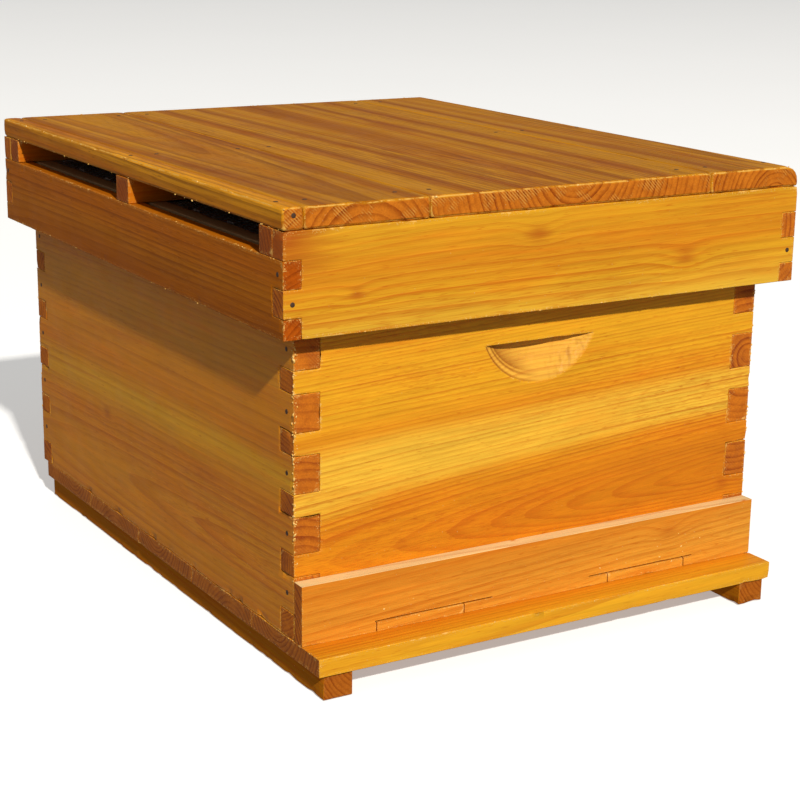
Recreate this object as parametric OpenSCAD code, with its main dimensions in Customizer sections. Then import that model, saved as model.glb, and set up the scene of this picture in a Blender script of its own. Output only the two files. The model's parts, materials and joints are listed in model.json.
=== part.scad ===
// Ten-frame beehive, made of waxed fir. A finger-jointed brood box is nailed to a
// fixed floor on two skids. Ten frames hang in it, under a screened inner cover
// and a telescoping lid with vent slots. The entrance faces -Y.

/* [Brood box] */
// Outside width of the box
box_w = 415; // [405:1:430]
// Outside depth of the box, front to back
box_d = 510; // [504:1:530]
// Height of the box boards
box_h = 265; // [260:1:290]
// Thickness of the box boards
box_t = 21; // [20:0.5:23]
// Height of the fingers on the side boards
finger_h = 28; // [22:1:32]
// Distance from one finger to the next
finger_pitch = 45; // [40:1:50]
// Height of the lowest finger above the floor
finger_start = 20.5; // [15:0.5:25]
// Width of the handhold along its ledge
handhold_w = 99; // [80:1:120]
// Height of the handhold
handhold_h = 33; // [25:1:40]
// Depth of the handhold's bowl
handhold_deep = 12; // [8:0.5:14]
// Height of the handhold's ledge above the floor
handhold_up = 200.5; // [180:0.5:210]

/* [Floor and entrance] */
// Height of the skids
skid_h = 19; // [15:1:40]
// Width of the skids
skid_w = 24; // [20:1:40]
// Thickness of the floor planks
floor_t = 14; // [12:0.5:20]
// Number of planks across the floor
floor_planks = 5; // [3:1:6]
// How far the landing board reaches in front of the box
landing = 38; // [30:1:60]
// Thickness of the entrance strip
strip_t = 12; // [10:0.5:16]
// Height of the entrance strip
strip_h = 46; // [40:1:60]
// Height of the slot under the front board
entrance_h = 12; // [8:0.5:14]
// Length of each entrance door
door_w = 75; // [60:1:80]
// Height of each entrance door
door_h = 7.5; // [6:0.5:9]

/* [Frames] */
// Number of frames
frames = 10; // [8:1:10]
// Distance from one frame to the next
frame_pitch = 35.5; // [35.5:0.1:36.5]
// Length of a top bar over its lugs
top_bar_l = 482; // [478:1:484]
// Length of a frame's rectangle
frame_l = 448; // [440:1:450]
// Height of a frame's rectangle
frame_h = 232; // [225:1:234]

/* [Inner cover] */
// Thickness of the inner cover's rails
cover_t = 18; // [14:1:25]
// Width of the rails
rail_w = 22; // [22:1:40]

/* [Lid] */
// How far the lid reaches past each side of the box
lid_over_x = 18.5; // [18:0.5:24]
// How far the lid reaches past the front and the back of the box
lid_over_y = 21; // [20:0.5:26]
// Height of the lid's front and back boards
rim_h = 75; // [65:1:90]
// Thickness of the front and back boards
rim_end_t = 16; // [14:0.5:18]
// Thickness of the side boards
rim_side_t = 14; // [12:0.5:15]
// Height of the battens, and of the vent slots between them
batten_h = 20; // [15:1:25]
// Width of the battens at the front and the back
batten_w = 20; // [18:1:30]
// Width of the middle batten
middle_batten_w = 24.5; // [18:0.5:30]
// Thickness of the top planks
top_t = 16; // [12:0.5:20]

/* [Hidden] */
two_digits = ["01", "02", "03", "04", "05", "06", "07", "08", "09", "10"];
frame_names = [for (i = [0:frames - 1]) str("frame_", two_digits[i], "_wood")];
foundation_names = [for (i = [0:frames - 1]) str("frame_", two_digits[i], "_foundation")];
floor_names = [for (i = [1:floor_planks]) str("floor_plank_", i)];

$fn = 48;

// Colours of the finishes
fir = "#e0982c";
fir_shade = "#a8691b";
fir_pale = "#e8b878";
raw_pine = "#dcb888";
beeswax = "#e3b23c";
steel = "#8c8f92";

// Heights of the levels, from the ground up
floor_z = skid_h;
box_z = floor_z + floor_t;
box_top = box_z + box_h;
cover_top = box_top + cover_t;
rim_top = cover_top + batten_h;
rim_z = rim_top - rim_h;

// The box's faces. The whole hive is centred on the origin, and the landing
// board reaches further than the lid, so the box sits a little behind it.
side_x = box_w / 2;
box_y = (landing - lid_over_y) / 2;
front_y = box_y - box_d / 2;
back_y = box_y + box_d / 2;
inner_x = side_x - box_t;

// Floor and skids
floor_back_gap = 9;
floor_y = front_y - landing;
floor_l = back_y - floor_back_gap - floor_y;
plank_w = floor_l / floor_planks;
skid_inset_x = 4.5;
skid_inset_y = 2;

// Frame rests in the front and back boards
rest_deep = 9;
rest_drop = 18;
lug_t = 10;
top_bar_t = 20;
top_bar_w = 25;
end_bar_t = 8;
end_bar_w = 35;
end_bar_narrow_w = 27;
end_bar_shoulder = 90;
bottom_bar_t = 10;
bottom_bar_w = 20;
foundation_t = 2;
glue_line = 0.1;
frame_top = box_top - rest_drop + lug_t;
frame_bottom = frame_top - frame_h;

// Entrance doors, from the middle of the hive to the middle of each door
door_left_x = -108;
door_right_x = 101;
door_gap = 0.6;
kerf = 1;
kerf_from = 45;
kerf_to = 147;

// Screen and staples of the inner cover
screen_lap = 8;
screen_t = 1;
screen_drop = 1;
staple_crown = 10;
staple_wire = 0.8;
staple_leg = 7;
staple_pitch = 60;

// Lid
lid_x = side_x + lid_over_x;
lid_front_y = front_y - lid_over_y;
lid_back_y = back_y + lid_over_y;
lid_d = lid_back_y - lid_front_y;
edge_strip_w = 16;
plank_1_w = 99;
plank_2_w = 250;
rim_fingers = [[rim_z, rim_z + 15], [cover_top - 20, cover_top]];

// Nails
nail_d = 2;
head_d = 3.6;
head_t = 1.2;
box_nail_l = 40;
floor_nail_l = 55;
landing_nail_l = 32;
strip_nail_l = 40;
strip_nail_x = 165;
rim_nail_l = 38;
edge_nail_l = 18;
top_nail_l = 32;

// Turns that point a nail's shank along an axis
into_left = [0, -90, 0];
into_right = [0, 90, 0];
into_back = [-90, 0, 0];
into_front = [90, 0, 0];
into_down = [180, 0, 0];
into_up = [0, 0, 0];

// Heights of the fingers on the box's side boards, each as [low, high]
box_fingers = [
    for (z = box_z + finger_start; z < box_top; z = z + finger_pitch)
        [z, min(z + finger_h, box_top)]
];

// The stretches between low and high that a list of fingers leaves free
function gaps(fingers, low, high) =
    let (edges = [low, for (f = fingers) each f, high])
    [for (i = [0:2:len(edges) - 2]) if (edges[i + 1] - edges[i] > 0.01) [edges[i], edges[i + 1]]];

// Middle of frame number i across the box
function frame_x(i) = (i - (frames - 1) / 2) * frame_pitch;

// Middle of a stretch
function middle(stretch) = (stretch[0] + stretch[1]) / 2;

// A box between two corners
module block(low, high) {
    translate(low) cube(high - low);
}

// What the child is and its mirror image across the hive's middle
module both_sides() {
    children();
    mirror([1, 0, 0]) children();
}

// A nail whose head lies flush at a point
module nail(at, turn, length) {
    translate(at) rotate(turn) {
        cylinder(d = nail_d, h = length);
        cylinder(d = head_d, h = head_t);
    }
}

// The bowl of a handhold, cut into a face at y = 0 of a board behind it.
// The ledge above it is flat.
module handhold() {
    ledge_z = box_z + handhold_up;
    rim_r = (pow(handhold_w / 2, 2) + pow(handhold_h, 2)) / (2 * handhold_h);
    bowl_r = (pow(rim_r, 2) + pow(handhold_deep, 2)) / (2 * handhold_deep);
    intersection() {
        translate([0, handhold_deep - bowl_r, ledge_z - handhold_h + rim_r])
            sphere(r = bowl_r, $fn = 96);
        block([-handhold_w, -1, ledge_z - 2 * handhold_h], [handhold_w, box_t, ledge_z]);
    }
}

// A front or back board of the box, its outer face at y = 0
module end_board(slot_h) {
    difference() {
        block([-side_x, 0, box_z], [side_x, box_t, box_top]);
        for (f = box_fingers) both_sides()
            block([inner_x, -1, f[0]], [side_x + 1, box_t + 1, f[1] + (f[1] == box_top ? 1 : 0)]);
        block([-inner_x, box_t - rest_deep, box_top - rest_drop], [inner_x, box_t + 1, box_top + 1]);
        if (slot_h > 0) block([-inner_x, -1, box_z - 1], [inner_x, box_t + 1, box_z + slot_h]);
        handhold();
    }
}

module box_front_board() {
    color(fir) translate([0, front_y, 0]) end_board(entrance_h);
}

module box_back_board() {
    color(fir) translate([0, back_y, 0]) mirror([0, 1, 0]) end_board(0);
}

// The left side board; the right one is its mirror image
module side_board() {
    color(fir_shade) difference() {
        block([-side_x, front_y, box_z], [-inner_x, back_y, box_top]);
        for (g = gaps(box_fingers, box_z, box_top)) for (y = [front_y - 1, back_y - box_t])
            block([-side_x - 1, y, g[0] - (g[0] == box_z ? 1 : 0)], [-inner_x + 1, y + box_t + 1, g[1]]);
    }
}

module box_left_board() side_board();

module box_right_board() mirror([1, 0, 0]) side_board();

// One nail through each finger of the side boards
module box_nails() {
    color(steel) for (f = box_fingers) for (y = [front_y + box_t / 2, back_y - box_t / 2]) {
        nail([-side_x, y, middle(f)], into_right, box_nail_l);
        nail([side_x, y, middle(f)], into_left, box_nail_l);
    }
}

// Floor plank number i, counted from the landing board
module floor_plank(i) {
    color(fir) block(
        [-side_x, floor_y + (i - 1) * plank_w, floor_z],
        [side_x, floor_y + i * plank_w, box_z]
    );
}

module skid_left() {
    color(fir) block(
        [-side_x + skid_inset_x, floor_y + skid_inset_y, 0],
        [-side_x + skid_inset_x + skid_w, floor_y + floor_l - skid_inset_y, floor_z]
    );
}

module skid_right() mirror([1, 0, 0]) skid_left();

// Two nails through each plank's end, up through the skid into the side board
module floor_nails() {
    color(steel) for (i = [1:floor_planks]) for (at = [0.25, 0.75])
        both_sides()
            nail([inner_x + skid_w / 4, floor_y + (i - 1 + at) * plank_w, 0], into_up,
                 i == 1 ? landing_nail_l : floor_nail_l);
}

// The notch that a door leaves in the strip
module door_notch(x) {
    block(
        [x - door_w / 2 - door_gap, front_y - strip_t - 1, box_z - 1],
        [x + door_w / 2 + door_gap, front_y + 1, box_z + door_h + kerf]
    );
}

module entrance_strip() {
    color(fir_pale) difference() {
        block([-side_x, front_y - strip_t, box_z], [side_x, front_y, box_z + strip_h]);
        door_notch(door_left_x);
        door_notch(door_right_x);
        both_sides() block(
            [kerf_from, front_y - strip_t - 1, box_z + door_h],
            [kerf_to, front_y + 1, box_z + door_h + kerf]
        );
    }
}

module door(x) {
    color(fir) block(
        [x - door_w / 2, front_y - strip_t, box_z],
        [x + door_w / 2, front_y, box_z + door_h]
    );
}

module entrance_door_left() door(door_left_x);

module entrance_door_right() door(door_right_x);

// Nails through the strip into the front board
module entrance_nails() {
    color(steel) both_sides() for (x = [strip_nail_x, strip_nail_x / 8])
        nail([x, front_y - strip_t / 2, floor_z], [0, 0, 0], strip_nail_l);
}

// The wood of a frame: top bar with lugs, two end bars and a bottom bar. They are
// four solids, a glue line apart.
module frame_wood(i) {
    bar_y = frame_l / 2 - end_bar_t - glue_line;
    color(raw_pine) translate([frame_x(i), box_y, 0]) {
        block([-top_bar_w / 2, -bar_y, frame_top - top_bar_t], [top_bar_w / 2, bar_y, frame_top]);
        block([-top_bar_w / 2, -top_bar_l / 2, frame_top - lug_t],
              [top_bar_w / 2, top_bar_l / 2, frame_top]);
        for (side = [-1, 1]) translate([0, side * (frame_l - end_bar_t) / 2, 0]) end_bar();
        block([-bottom_bar_w / 2, -bar_y, frame_bottom],
              [bottom_bar_w / 2, bar_y, frame_bottom + bottom_bar_t]);
    }
}

// An end bar: wide where it spaces the frames, narrow below
module end_bar() {
    low = frame_bottom;
    high = frame_top - lug_t - glue_line;
    shoulder = high - end_bar_shoulder;
    half = end_bar_w / 2;
    narrow = end_bar_narrow_w / 2;
    rotate([90, 0, 0]) linear_extrude(height = end_bar_t, center = true) polygon([
        [-narrow, low], [narrow, low], [narrow, shoulder - 8], [half, shoulder],
        [half, high], [-half, high], [-half, shoulder], [-narrow, shoulder - 8]
    ]);
}

// The wax foundation inside a frame
module frame_foundation(i) {
    color(beeswax) translate([frame_x(i), box_y, 0]) block(
        [-foundation_t / 2, end_bar_t + glue_line - frame_l / 2, frame_bottom + bottom_bar_t],
        [foundation_t / 2, frame_l / 2 - end_bar_t - glue_line, frame_top - top_bar_t]
    );
}

// The space that the screen fills, in the rebate of the rails
module screen_space(rise) {
    inset = rail_w - screen_lap;
    z = cover_top - screen_drop - screen_t;
    block([-side_x + inset, front_y + inset, z], [side_x - inset, back_y - inset, z + screen_t + rise]);
}

module inner_cover_front_rail() {
    color(raw_pine) difference() {
        block([-side_x, front_y, box_top], [side_x, front_y + rail_w, cover_top]);
        screen_space(screen_drop + 1);
    }
}

module inner_cover_back_rail() {
    color(raw_pine) difference() {
        block([-side_x, back_y - rail_w, box_top], [side_x, back_y, cover_top]);
        screen_space(screen_drop + 1);
    }
}

module inner_cover_left_rail() {
    color(raw_pine) difference() {
        block([-side_x, front_y + rail_w, box_top], [-side_x + rail_w, back_y - rail_w, cover_top]);
        screen_space(screen_drop + 1);
    }
}

module inner_cover_right_rail() mirror([1, 0, 0]) inner_cover_left_rail();

module inner_cover_middle_rail() {
    color(raw_pine) difference() {
        block(
            [-side_x + rail_w, box_y - rail_w / 2, box_top],
            [side_x - rail_w, box_y + rail_w / 2, cover_top]
        );
        screen_space(screen_drop + 1);
    }
}

module inner_cover_screen() {
    color(steel) screen_space(0);
}

// A staple with its crown along X, over a point on the screen's edge
module staple(at, turn) {
    translate([at[0], at[1], cover_top - screen_drop]) rotate([0, 0, turn]) {
        block([-staple_crown / 2, -staple_wire / 2, 0],
              [staple_crown / 2, staple_wire / 2, staple_wire]);
        for (x = [-staple_crown / 2, staple_crown / 2 - staple_wire])
            block([x, -staple_wire / 2, -staple_leg], [x + staple_wire, staple_wire / 2, staple_wire]);
    }
}

module inner_cover_staples() {
    edge = rail_w - screen_lap / 2;
    along_x = floor((box_w / 2 - rail_w) / staple_pitch);
    along_y = floor((box_d / 2 - rail_w) / staple_pitch);
    color(steel) {
        for (i = [-along_x:along_x]) for (y = [front_y + edge, back_y - edge])
            staple([i * staple_pitch, y], 0);
        for (i = [-along_y:along_y]) both_sides()
            staple([side_x - edge, box_y + i * staple_pitch], 90);
    }
}

// The front board of the lid's rim, its outer face at y = 0
module rim_end_board() {
    color(fir) difference() {
        block([-lid_x, 0, rim_z], [lid_x, rim_end_t, rim_top]);
        for (f = rim_fingers) both_sides()
            block([lid_x - rim_side_t, -1, f[0] - (f[0] == rim_z ? 1 : 0)],
                  [lid_x + 1, rim_end_t + 1, f[1]]);
    }
}

module lid_front_board() translate([0, lid_front_y, 0]) rim_end_board();

module lid_back_board() translate([0, lid_back_y, 0]) mirror([0, 1, 0]) rim_end_board();

module lid_left_board() {
    color(fir_shade) difference() {
        block([-lid_x, lid_front_y, rim_z], [-lid_x + rim_side_t, lid_back_y, cover_top]);
        for (g = gaps(rim_fingers, rim_z, cover_top)) for (y = [lid_front_y - 1, lid_back_y - rim_end_t])
            block([-lid_x - 1, y, g[0]], [-lid_x + rim_side_t + 1, y + rim_end_t + 1, g[1]]);
    }
}

module lid_right_board() mirror([1, 0, 0]) lid_left_board();

// A batten across the lid, between two places front to back
module batten(from_y, to_y) {
    color(fir_shade) block([-lid_x, from_y, cover_top], [lid_x, to_y, rim_top]);
}

module lid_front_batten() batten(lid_front_y + rim_end_t, lid_front_y + rim_end_t + batten_w);

module lid_middle_batten() batten(box_y - middle_batten_w / 2, box_y + middle_batten_w / 2);

module lid_back_batten() batten(lid_back_y - rim_end_t - batten_w, lid_back_y - rim_end_t);

// Seams between the top planks, from the left edge to the right
top_seams = [
    -lid_x, -lid_x + edge_strip_w, -lid_x + edge_strip_w + plank_1_w,
    -lid_x + edge_strip_w + plank_1_w + plank_2_w, lid_x
];

// Top plank between seam number i and the next
module top_plank(i) {
    color(fir)
        block([top_seams[i], lid_front_y, rim_top], [top_seams[i + 1], lid_back_y, rim_top + top_t]);
}

module lid_edge_strip() top_plank(0);

module lid_top_plank_1() top_plank(1);

module lid_top_plank_2() top_plank(2);

module lid_top_plank_3() top_plank(3);

// Nails through the corners of the rim, down through the top planks, and one into
// the end of the edge strip
module lid_nails() {
    front_finger = gaps(rim_fingers, rim_z, cover_top)[0];
    batten_lines = [
        lid_front_y + rim_end_t + batten_w / 2, box_y, lid_back_y - rim_end_t - batten_w / 2
    ];
    color(steel) {
        both_sides() {
            nail([lid_x - rim_side_t / 2, lid_front_y, middle(front_finger)], into_back, rim_nail_l);
            nail([lid_x - rim_side_t / 2, lid_back_y, middle(front_finger)], into_front, rim_nail_l);
            for (y = [lid_front_y + rim_end_t / 2, lid_back_y - rim_end_t / 2])
                nail([lid_x, y, middle(rim_fingers[1])], into_left, rim_nail_l);
        }
        nail([-lid_x + edge_strip_w / 2, lid_front_y, rim_top + top_t * 0.65], into_back, edge_nail_l);
        for (y = batten_lines) {
            nail([-lid_x + edge_strip_w / 2, y, rim_top + top_t], into_down, top_nail_l);
            for (i = [1:3]) for (x = [top_seams[i] + 14, top_seams[i + 1] - 14])
                nail([x, y, rim_top + top_t], into_down, top_nail_l);
        }
    }
}

box_front_board();
box_back_board();
box_left_board();
box_right_board();
box_nails();
for (i = [1:floor_planks])
    floor_plank(i);
skid_left();
skid_right();
floor_nails();
entrance_strip();
entrance_door_left();
entrance_door_right();
entrance_nails();
for (i = [0:frames - 1])
    frame_wood(i);
for (i = [0:frames - 1])
    frame_foundation(i);
inner_cover_front_rail();
inner_cover_back_rail();
inner_cover_left_rail();
inner_cover_right_rail();
inner_cover_middle_rail();
inner_cover_screen();
inner_cover_staples();
lid_front_board();
lid_back_board();
lid_left_board();
lid_right_board();
lid_front_batten();
lid_middle_batten();
lid_back_batten();
lid_edge_strip();
lid_top_plank_1();
lid_top_plank_2();
lid_top_plank_3();
lid_nails();
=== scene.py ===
"""A ten-frame beehive of waxed fir: box on a fixed floor, frames, inner cover and lid."""

import json
import logging
import math
import random
from dataclasses import dataclass, field
from enum import Enum

import bmesh
import bpy
from mathutils import Matrix, Vector, noise

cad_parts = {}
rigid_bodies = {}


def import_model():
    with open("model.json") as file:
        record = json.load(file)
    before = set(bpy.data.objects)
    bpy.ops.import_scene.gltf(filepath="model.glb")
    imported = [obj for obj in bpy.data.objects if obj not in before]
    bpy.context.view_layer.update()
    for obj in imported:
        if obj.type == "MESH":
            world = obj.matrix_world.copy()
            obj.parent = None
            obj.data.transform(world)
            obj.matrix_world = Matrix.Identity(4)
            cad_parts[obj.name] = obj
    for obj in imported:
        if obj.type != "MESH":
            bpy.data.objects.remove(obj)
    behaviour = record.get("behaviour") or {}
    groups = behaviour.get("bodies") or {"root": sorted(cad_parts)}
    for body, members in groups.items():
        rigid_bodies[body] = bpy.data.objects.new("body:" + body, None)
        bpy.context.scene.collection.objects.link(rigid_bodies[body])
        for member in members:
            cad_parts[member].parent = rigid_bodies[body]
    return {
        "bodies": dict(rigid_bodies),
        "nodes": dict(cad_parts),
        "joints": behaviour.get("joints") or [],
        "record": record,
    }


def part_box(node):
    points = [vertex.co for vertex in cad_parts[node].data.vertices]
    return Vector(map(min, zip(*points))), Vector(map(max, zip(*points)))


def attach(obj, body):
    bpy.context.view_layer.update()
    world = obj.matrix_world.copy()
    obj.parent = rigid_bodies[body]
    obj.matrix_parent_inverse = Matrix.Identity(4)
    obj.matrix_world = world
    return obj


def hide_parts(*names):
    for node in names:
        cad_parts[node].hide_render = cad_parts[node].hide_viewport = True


log = logging.getLogger("beehive")

Colour = tuple[float, float, float]
Place = tuple[float, float, float]
Zones = tuple[tuple[float, Colour], ...]
MM = 0.001


class Axis(Enum):
    """The row axis that a board's grain runs along."""

    X = 0
    Y = 1
    Z = 2

    def unit(self) -> Vector:
        """The axis as a unit vector."""
        return Vector([1.0 if i == self.value else 0.0 for i in range(3)])

    def others(self) -> tuple[Vector, Vector]:
        """The two axes across the grain, in X, Y, Z order."""
        first, second = [a for a in Axis if a is not self]
        return first.unit(), second.unit()


def linked(name: str, data: bpy.types.ID) -> bpy.types.Object:
    """An object made from some data, in the scene."""
    made = bpy.data.objects.new(name, data)
    bpy.context.scene.collection.objects.link(made)
    return made


def meshed(bm: bmesh.types.BMesh, name: str, *finishes: bpy.types.Material) -> bpy.types.Object:
    """An object made from a mesh, which is freed, and its materials."""
    mesh = bpy.data.meshes.new(name)
    bm.to_mesh(mesh)
    bm.free()
    for finish in finishes:
        mesh.materials.append(finish)
    log.info("%s: %d faces", name, len(mesh.polygons))
    return linked(name, mesh)


def bevel(
    bm: bmesh.types.BMesh, edges: list[bmesh.types.BMEdge], offset: float, segments: int
) -> None:
    """Rounds some edges."""
    bmesh.ops.bevel(
        bm, geom=edges, offset=offset, offset_type="OFFSET", affect="EDGES",
        segments=segments, profile=0.5, material=-1, clamp_overlap=True,
    )


def sharp_edges(bm: bmesh.types.BMesh, degrees: float) -> list[bmesh.types.BMEdge]:
    """The edges where two faces meet at more than some degrees."""
    return [e for e in bm.edges if e.is_manifold and e.calc_face_angle() > math.radians(degrees)]


def shade_smooth(bm: bmesh.types.BMesh) -> None:
    """Shades every face smooth."""
    for face in bm.faces:
        face.smooth = True


class Signal:
    """One output of a shader node; arithmetic on it adds Math nodes."""

    def __init__(self, graph: "Graph", socket: bpy.types.NodeSocket) -> None:
        """Wraps a socket.

        Args:
            graph: The graph that the socket's node is in.
            socket: The output that this signal stands for.
        """
        self.graph = graph
        self.socket = socket

    def _math(self, operation: str, *values: "Signal | float") -> "Signal":
        """A Math node over some values."""
        return self.graph.add("ShaderNodeMath", {"operation": operation}, dict(enumerate(values)))

    def __add__(self, other: "Signal | float") -> "Signal":
        """Sum."""
        return self._math("ADD", self, other)

    def __radd__(self, other: float) -> "Signal":
        """Sum, from the right."""
        return self._math("ADD", other, self)

    def __sub__(self, other: "Signal | float") -> "Signal":
        """Difference."""
        return self._math("SUBTRACT", self, other)

    def __rsub__(self, other: float) -> "Signal":
        """Difference, from the right."""
        return self._math("SUBTRACT", other, self)

    def __mul__(self, other: "Signal | float") -> "Signal":
        """Product."""
        return self._math("MULTIPLY", self, other)

    def __truediv__(self, other: "Signal | float") -> "Signal":
        """Quotient."""
        return self._math("DIVIDE", self, other)

    def fraction(self) -> "Signal":
        """What is left after the whole part is taken off."""
        return self._math("FRACT", self)

    def whole(self) -> "Signal":
        """The whole part."""
        return self._math("FLOOR", self)

    def size(self) -> "Signal":
        """The value without its sign."""
        return self._math("ABSOLUTE", self)

    def lower(self, other: "Signal | float") -> "Signal":
        """The lower of two values."""
        return self._math("MINIMUM", self, other)

    def higher(self, other: "Signal | float") -> "Signal":
        """The higher of two values."""
        return self._math("MAXIMUM", self, other)

    def exp(self) -> "Signal":
        """e to the power of the value."""
        return self._math("EXPONENT", self)

    def step(self, low: float, high: float) -> "Signal":
        """A smooth step from 0 at low to 1 at high."""
        settings = {"interpolation_type": "SMOOTHSTEP"}
        sockets = {0: self, 1: low, 2: high, 3: 0.0, 4: 1.0}
        return self.graph.add("ShaderNodeMapRange", settings, sockets)


class Graph:
    """The node graph of one material."""

    def __init__(self, name: str) -> None:
        """Makes an empty material with an output node.

        Args:
            name: The material's name.
        """
        self.material = bpy.data.materials.new(name)
        self.material.use_nodes = True
        self.tree = self.material.node_tree
        self.tree.nodes.clear()

    def add(
        self,
        kind: str,
        settings: dict[str, object] | None = None,
        inputs: dict[int | str, object] | None = None,
        output: int | str = 0,
    ) -> Signal:
        """Adds a node.

        Args:
            kind: The node's type.
            settings: Its properties; "stops" holds a colour ramp's stops as (place, colour).
            inputs: A value or a Signal for each socket that is set, by name or number.
            output: The output that the answer stands for.

        Returns:
            The node's output.
        """
        node = self.tree.nodes.new(kind)
        for key, value in (settings or {}).items():
            if key == "stops":
                ramp = node.color_ramp.elements
                while len(ramp) < len(value):
                    ramp.new(1.0)
                for element, (place, colour) in zip(ramp, value):
                    element.position = place
                    element.color = (*colour, 1.0)
            else:
                setattr(node, key, value)
        for key, value in (inputs or {}).items():
            if isinstance(value, Signal):
                self.tree.links.new(value.socket, node.inputs[key])
            elif isinstance(value, tuple) and node.inputs[key].type == "RGBA":
                node.inputs[key].default_value = (*value, 1.0)
            else:
                node.inputs[key].default_value = value
        return Signal(self, node.outputs[output])

    def coordinates(self, output: str = "Object") -> Signal:
        """The piece's own coordinates, or another output of that node."""
        return self.add("ShaderNodeTexCoord", output=output)

    def attribute(self, name: str) -> Signal:
        """A number that the piece's mesh carries at each vertex."""
        return self.add("ShaderNodeAttribute", {"attribute_name": name}, output="Fac")

    def scaled(self, vector: Signal, amount: "Signal | float") -> Signal:
        """A vector or colour times a number."""
        return self.add("ShaderNodeVectorMath", {"operation": "SCALE"}, {0: vector, "Scale": amount})

    def vector(
        self, operation: str, *values: "Signal | Vector | float", output: int | str = 0
    ) -> Signal:
        """A Vector Math node over some values."""
        sockets = dict(enumerate(values))
        return self.add("ShaderNodeVectorMath", {"operation": operation}, sockets, output)

    def dot(self, vector: Signal, direction: Vector) -> Signal:
        """How far a vector reaches along a direction."""
        return self.vector("DOT_PRODUCT", vector, direction, output="Value")

    def length(self, vector: Signal) -> Signal:
        """A vector's length."""
        return self.vector("LENGTH", vector, output="Value")

    def join(self, x: "Signal | float", y: "Signal | float", z: "Signal | float") -> Signal:
        """A vector from three values."""
        return self.add("ShaderNodeCombineXYZ", inputs={0: x, 1: y, 2: z})

    def noise(self, vector: Signal, scale: float, detail: float = 2.0, rough: float = 0.5) -> Signal:
        """Soft noise from 0 to 1 over a vector."""
        sockets = {"Vector": vector, "Scale": scale, "Detail": detail, "Roughness": rough}
        return self.add("ShaderNodeTexNoise", inputs=sockets)

    def mix(self, share: "Signal | float", a: "Signal | Colour", b: "Signal | Colour") -> Signal:
        """A blend of two colours.

        Args:
            share: How much of b shows, from 0 to 1.
            a: The first colour.
            b: The second colour.

        Returns:
            The blended colour.
        """
        settings = {"data_type": "RGBA", "blend_type": "MIX", "clamp_factor": True}
        return self.add("ShaderNodeMix", settings, {"Factor": share, 6: a, 7: b}, 2)

    def layers(self, colour: Signal, *over: "tuple[Signal, Signal | Colour]") -> Signal:
        """A colour with others over it, each with how much of it shows."""
        for share, layer in over:
            colour = self.mix(share, colour, layer)
        return colour

    def bump(self, height: Signal, strength: float, distance: float) -> Signal:
        """The normal of a surface with some relief."""
        sockets = {"Height": height, "Strength": strength, "Distance": distance}
        return self.add("ShaderNodeBump", inputs=sockets)

    def finish(self, **sockets: object) -> bpy.types.Material:
        """Ends the graph in a Principled shader.

        Args:
            sockets: Its sockets, with underscores for spaces.

        Returns:
            The finished material.
        """
        named = {key.replace("_", " "): value for key, value in sockets.items()}
        shader = self.add("ShaderNodeBsdfPrincipled", inputs=named)
        out = self.tree.nodes.new("ShaderNodeOutputMaterial")
        self.tree.links.new(shader.socket, out.inputs["Surface"])
        return self.material


@dataclass(frozen=True)
class Palette:
    """The colours of one kind of timber, in linear light, and how much of each shows.

    bare_from is the wear past which an edge is bare wood, and sawn is how much the saw
    marks show on the ends.
    """

    late: Colour = (0.52, 0.115, 0.003)
    end_light: Colour = (0.57, 0.155, 0.007)
    end_dark: Colour = (0.27, 0.044, 0.002)
    warm: Colour = (0.68, 0.155, 0.004)
    worn: Colour = (0.86, 0.50, 0.13)
    fresh: Colour = (0.88, 0.50, 0.085)
    knot: Colour = (0.40, 0.080, 0.004)
    # Dark brown for dirt, torn fibre and the painted shade in the handhold's bowl.
    groove: Colour = (0.26, 0.060, 0.004)
    crumb: Colour = (0.92, 0.66, 0.28)
    late_share: float = 0.62
    band_share: float = 0.35
    warm_share: float = 0.30
    worn_share: float = 0.7
    bare_from: float = 1.06
    roughness: float = 0.46
    gloss: float = 0.16
    sawn: float = 0.06
    dirt: float = 0.25


@dataclass(frozen=True)
class Marks:
    """How fine the marks in and on the wood are, in noise cells for each metre."""

    bend: float = 9.0
    waver: float = 75.0
    ripple: float = 420.0
    uneven: float = 55.0
    patch: float = 16.0
    band: float = 70.0
    mottle: float = 42.0
    streak: float = 240.0
    thread: float = 520.0
    dash: float = 820.0
    fibre: float = 1500.0
    grime: float = 34.0
    scuff: float = 190.0
    dirt: float = 480.0
    wax: float = 620.0
    speck: float = 900.0
    flake: float = 1150.0


@dataclass(frozen=True)
class Knot:
    """A knot that runs into a board along one axis.

    depth is how dark it is at its heart, and swirl how far it pushes the rings aside,
    as a share of its radius.
    """

    at: Place
    radius: float
    into: Axis
    depth: float = 0.6
    swirl: float = 0.5


@dataclass(frozen=True)
class Figure:
    """What the looks of one board are mixed from.

    place and distance are in metres; the others go from 0 to 1.
    """

    place: Signal
    distance: Signal
    end_grain: Signal
    late: Signal
    patch: Signal
    band: Signal
    mottle: Signal
    streak: Signal
    fibre: Signal
    thread: Signal
    dash: Signal
    scuff: Signal


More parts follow.
